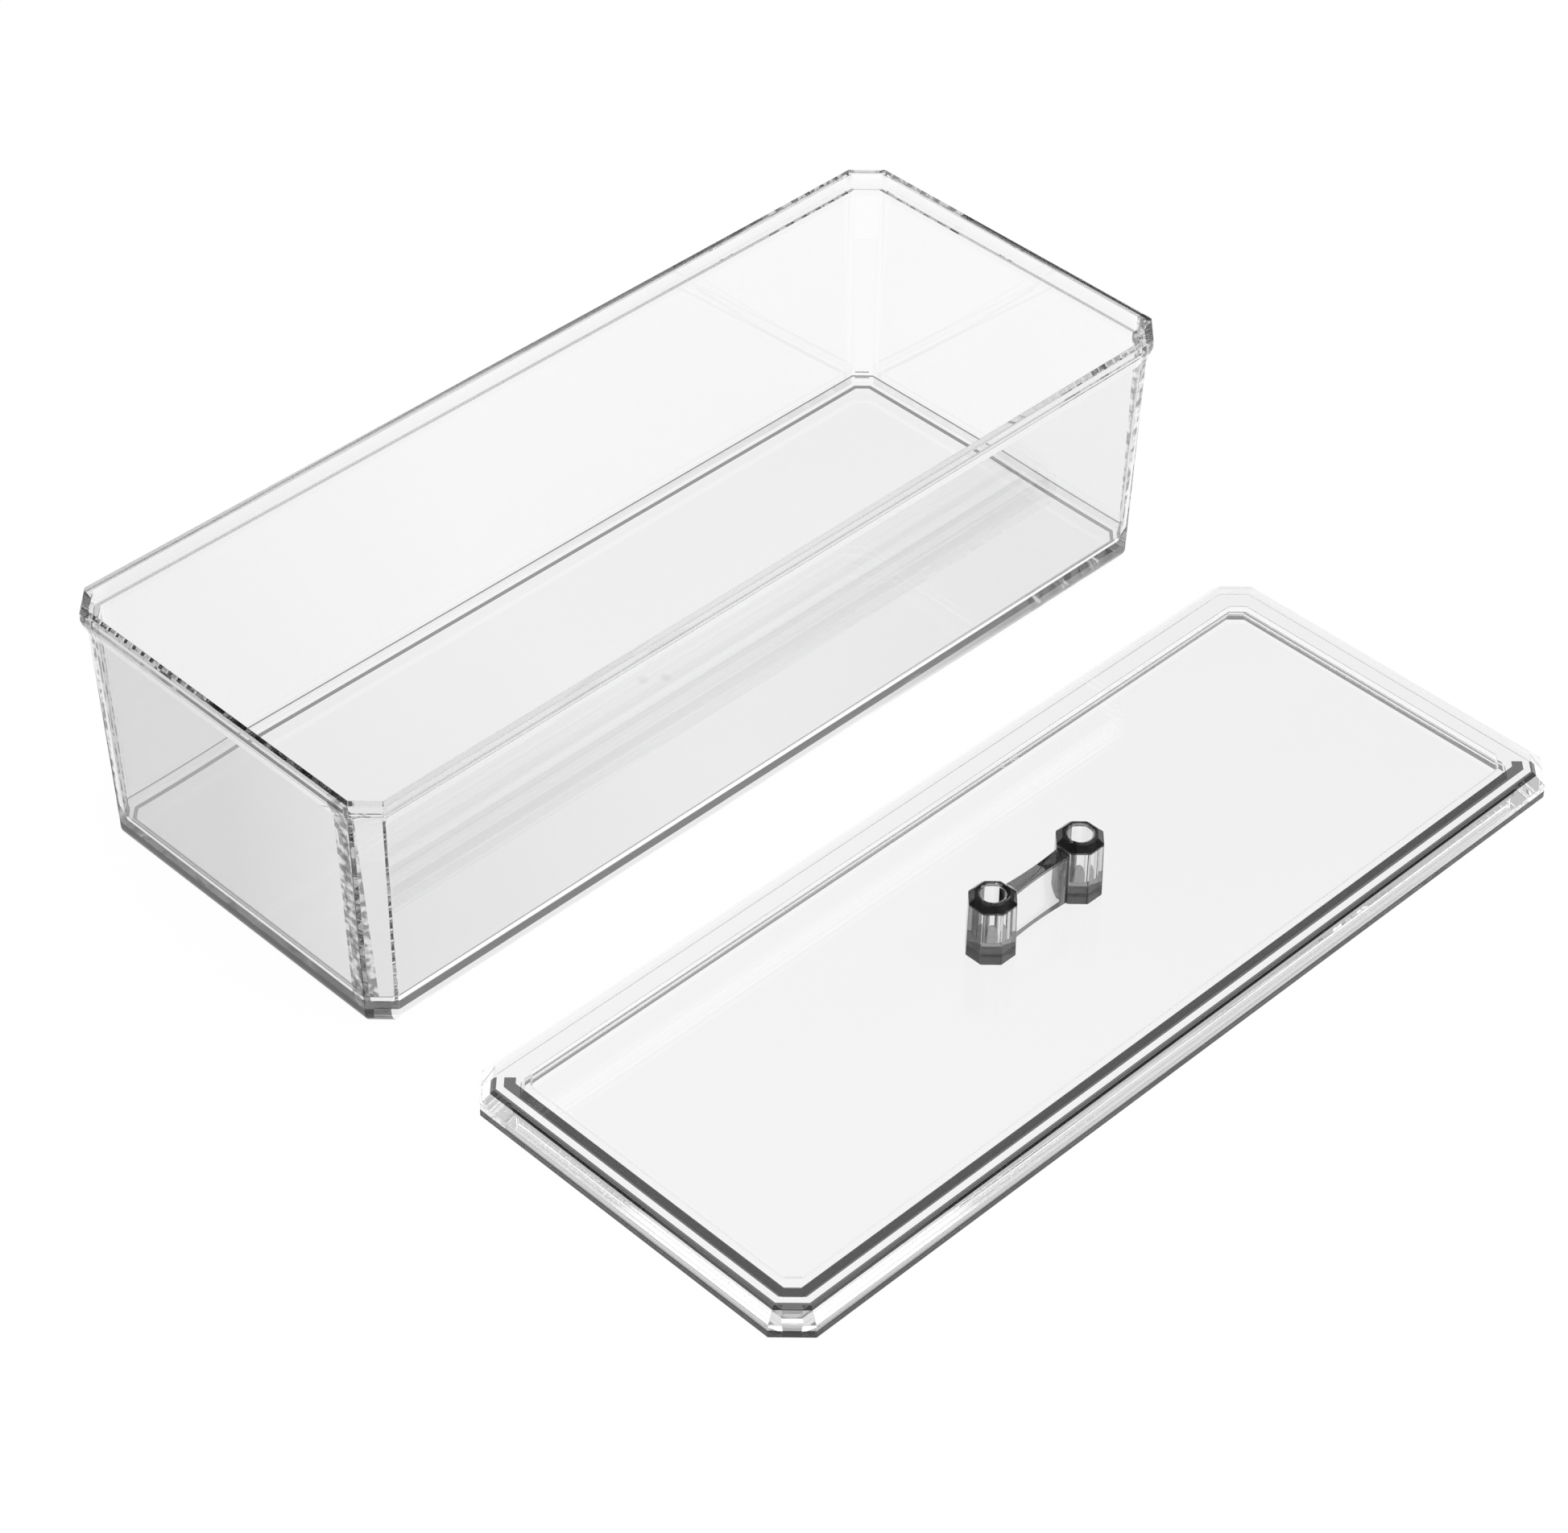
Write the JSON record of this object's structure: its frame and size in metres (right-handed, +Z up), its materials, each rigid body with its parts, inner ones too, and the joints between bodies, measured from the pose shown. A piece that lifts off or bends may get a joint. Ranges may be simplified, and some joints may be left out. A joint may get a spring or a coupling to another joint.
{
  "type": "tea bag organizer",
  "caption": "Clear rectangular storage box with cut corners, a flared rim and tapered walls, and a lift-off lid with a raised border and a low two-post grip, lying beside it.",
  "frame": {"origin": "middle of the tray's flat underside", "axes": "+X along the long side, +Z up, -Y towards the lid that lies in front of the tray"},
  "size_m": [0.2522, 0.2249, 0.0664],
  "materials": {
    "clear_tray": "clear moulded polystyrene, polished",
    "clear_lid": "clear moulded polystyrene, polished",
    "clear_grip": "clear moulded polystyrene, polished"
  },
  "bodies": {
    "tray_body": {"tray": "clear_tray"},
    "lid_body": {"lid": "clear_lid", "handle": "clear_grip"}
  },
  "joints": [
    {"name": "lid_lift", "type": "slide", "parent": "tray_body", "child": "lid_body", "axis": [0, 0, 1], "range_m": [0, 0.12]}
  ]
}
